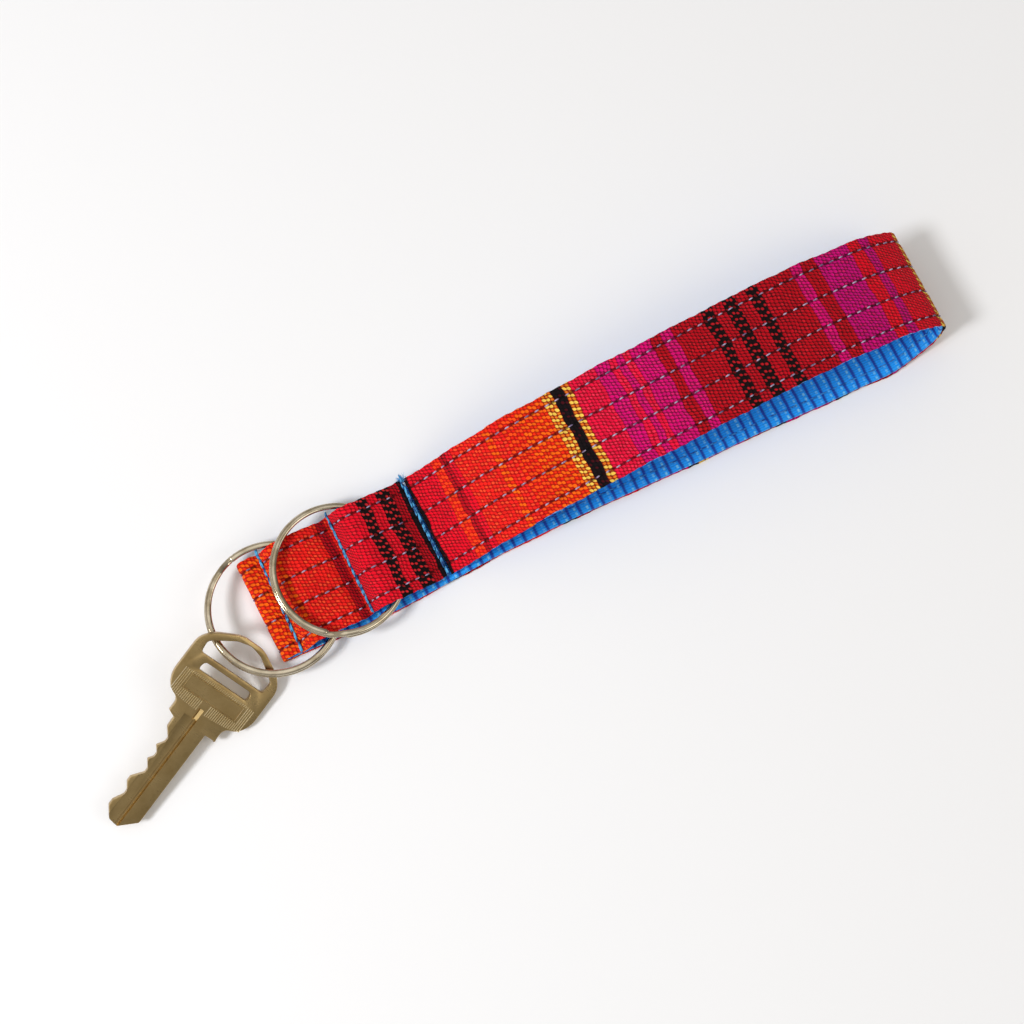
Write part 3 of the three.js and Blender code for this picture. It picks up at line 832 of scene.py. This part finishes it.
def make_key():
    wide = BOW - 2.3
    ring_window = soften([(-wide + 0.1, 43.6), (wide - 0.1, 43.6), (wide + 0.2, 46.5), (3.4, 50.2), (0, 51.0),
                          (-3.4, 50.2), (-wide - 0.2, 46.5)], 0.8)
    slot = soften([(-7.0, 40.0), (7.0, 40.0), (6.6, 42.2), (-6.6, 42.2)], 0.9)
    body = plate("key_body", [key_outline(), ring_window[::-1], slot[::-1]], KEY_THICK, 0.2, brass)
    top = KEY_THICK / 2
    low_x, high_x = BLADE_MID - 2.9, BLADE_MID + 0.6
    groove = [(low_x, top + 1), (low_x, top - 0.2), (low_x + 0.25, top - 0.32), (high_x - 0.9, top - 0.34),
              (high_x - 0.7, top - 0.7), (high_x - 0.25, top - 0.7), (high_x, top - 0.1), (high_x, top + 1)]
    back = [(-x + 2 * BLADE_MID, -z) for x, z in groove]
    run_out = [(BLADE_MID - 0.9, top + 1), (BLADE_MID - 0.9, top - 0.1), (BLADE_MID - 0.3, top - 0.5),
               (BLADE_MID + 0.5, top - 0.1), (BLADE_MID + 0.5, top + 1)]
    panel = [(-7.2, top + 1), (-7.2, top - 0.14), (7.2, top - 0.14), (7.2, top + 1)]
    for cutter in (prism(groove, -2, SHOULDER + 1.6), prism(back, -2, SHOULDER + 1.6),
                   prism(run_out, SHOULDER + 1.2, SHOULDER + 4.4), prism(panel, 34.9, 38.2)):
        cut_away(body, cutter)
    body.data.transform(Matrix.Scale(MM, 4))
    ridges = []
    for i in range(38):
        x = -9.6 + i * 0.52
        reach = math.sqrt(max(0.0, 1 - (x / 11.4) ** 2))
        low, high = 34.5 - 2.6 * reach, 38.6 + 0.7 * reach
        spans = ((low, high),) if abs(x) > 7.7 else ((low, 34.5), (38.6, high))
        for y0, y1 in spans:
            if y1 - y0 > 0.3 and not (abs(x - BLADE_MID) < 1.1 and y0 < 33.4):
                section = [(x - 0.17, top - 0.05), (x + 0.17, top - 0.05), (x, top + 0.17)]
                ridges.append(prism(section, y0, y1, 0.12))
    frame_bars = [prism([(x - 0.12, top - 0.05), (x + 0.12, top - 0.05), (x, top + 0.13)], 34.8, 38.3)
                  for x in (-7.35, 7.35)]
    frame_bars += [bar_across(y, top) for y in (34.75, 38.35)]
    verts, faces = gather(ridges + frame_bars)
    hatch = new_mesh("key_hatching", verts, faces, bright_brass, smooth=False)
    body.data.polygons.foreach_set("use_smooth", [True] * len(body.data.polygons))
    body.data.set_sharp_from_angle(angle=math.radians(28))
    return body, hatch


wire_point = joint_place("key_swing")[0]
turned = (Matrix.Rotation(math.radians(KEY_HEADING - 90), 4, "Z")
          @ Matrix.Rotation(math.radians(KEY_PITCH), 4, "X")
          @ Matrix.Rotation(math.radians(KEY_ROLL), 4, "Y"))
hole = turned @ Vector((0, KEY_HOLE * MM, KEY_ABOVE * MM))
for i, piece in enumerate(make_key()):
    piece.matrix_world = Matrix.Translation(wire_point - hole) @ turned
    settle(piece, "key", "house_key" if i == 0 else None)


# ---- Stage, light and camera ---------------------------------------------------------------------
def floor():
    n = Nodes("pale_floor")
    n.set(Base_Color=srgb(243, 243, 243), Roughness=0.7)
    n.shader.inputs["Specular IOR Level"].default_value = 0.1
    verts = [(-1500, -1500, 0), (1500, -1500, 0), (1500, 1500, 0), (-1500, 1500, 0)]
    made = new_mesh("floor", verts, [(0, 1, 2, 3)], n.material, smooth=False)
    made.location.z = -0.00002


floor()
TURN = math.radians(27.4)
RIGHT = Vector((math.cos(TURN), -math.sin(TURN), 0))
AWAY = Vector((math.sin(TURN), math.cos(TURN), 0))
UP = Vector((0, 0, 1))
scene = bpy.context.scene


def look_from(obj, place, target, top):
    forward = (target - place).normalized()
    side = forward.cross(top).normalized()
    over = side.cross(forward)
    obj.matrix_world = Matrix.Translation(place) @ Matrix((side, over, -forward)).transposed().to_4x4()


def camera():
    data = bpy.data.cameras.new("camera")
    data.sensor_width = 36
    data.lens = 64.2
    data.clip_start = 0.01
    obj = bpy.data.objects.new("camera", data)
    scene.collection.objects.link(obj)
    target = Vector((19.6, -5.65, 0)) * MM
    lean = math.radians(8)
    look_from(obj, target + 0.43 * (UP * math.cos(lean) - AWAY * math.sin(lean)), target, AWAY)
    scene.camera = obj
    scene.render.resolution_x = scene.render.resolution_y = 1024


def soft_light(name, towards, distance, size, power, colour):
    data = bpy.data.lights.new(name, "AREA")
    data.shape = "DISK"
    data.size = size
    data.energy = power
    data.color = colour
    obj = bpy.data.objects.new(name, data)
    scene.collection.objects.link(obj)
    target = Vector((0.03, -0.005, 0))
    look_from(obj, target + towards.normalized() * distance, target, AWAY + UP * 0.01)


camera()
soft_light("key_light", -RIGHT * 0.9 - AWAY * 0.35 + UP * 1.0, 0.9, 0.22, 4.9, (0.98, 0.99, 1.02))
soft_light("overhead", UP + AWAY * 0.15, 1.1, 0.8, 0.8, (1, 1, 1))
soft_light("fill_light", RIGHT * 0.9 - AWAY * 0.2 + UP * 1.0, 1.0, 0.6, 1.5, (1.0, 0.97, 0.92))


def room():
    """A pale room, brightest on the left and overhead, dimmer low on the right."""
    world = bpy.data.worlds.new("room")
    scene.world = world
    world.use_nodes = True
    tree = world.node_tree
    where = tree.nodes.new("ShaderNodeTexCoord")
    dot = tree.nodes.new("ShaderNodeVectorMath")
    dot.operation = "DOT_PRODUCT"
    dot.inputs[1].default_value = (-RIGHT * 0.7 + UP * 0.7).normalized()
    fit = tree.nodes.new("ShaderNodeMapRange")
    fit.interpolation_type = "SMOOTHSTEP"
    for socket, value in zip(list(fit.inputs)[1:5], (-0.5, 0.9, 0.18, 0.57)):
        socket.default_value = value
    tree.links.new(where.outputs["Generated"], dot.inputs[0])
    tree.links.new(dot.outputs["Value"], fit.inputs[0])
    background = tree.nodes["Background"]
    background.inputs[0].default_value = (1.0, 0.97, 0.94, 1)
    tree.links.new(fit.outputs[0], background.inputs[1])


room()
scene.view_settings.view_transform = "Standard"
scene.view_settings.look = "None"
scene.view_settings.exposure = 0.0
scene.cycles.max_bounces = 8
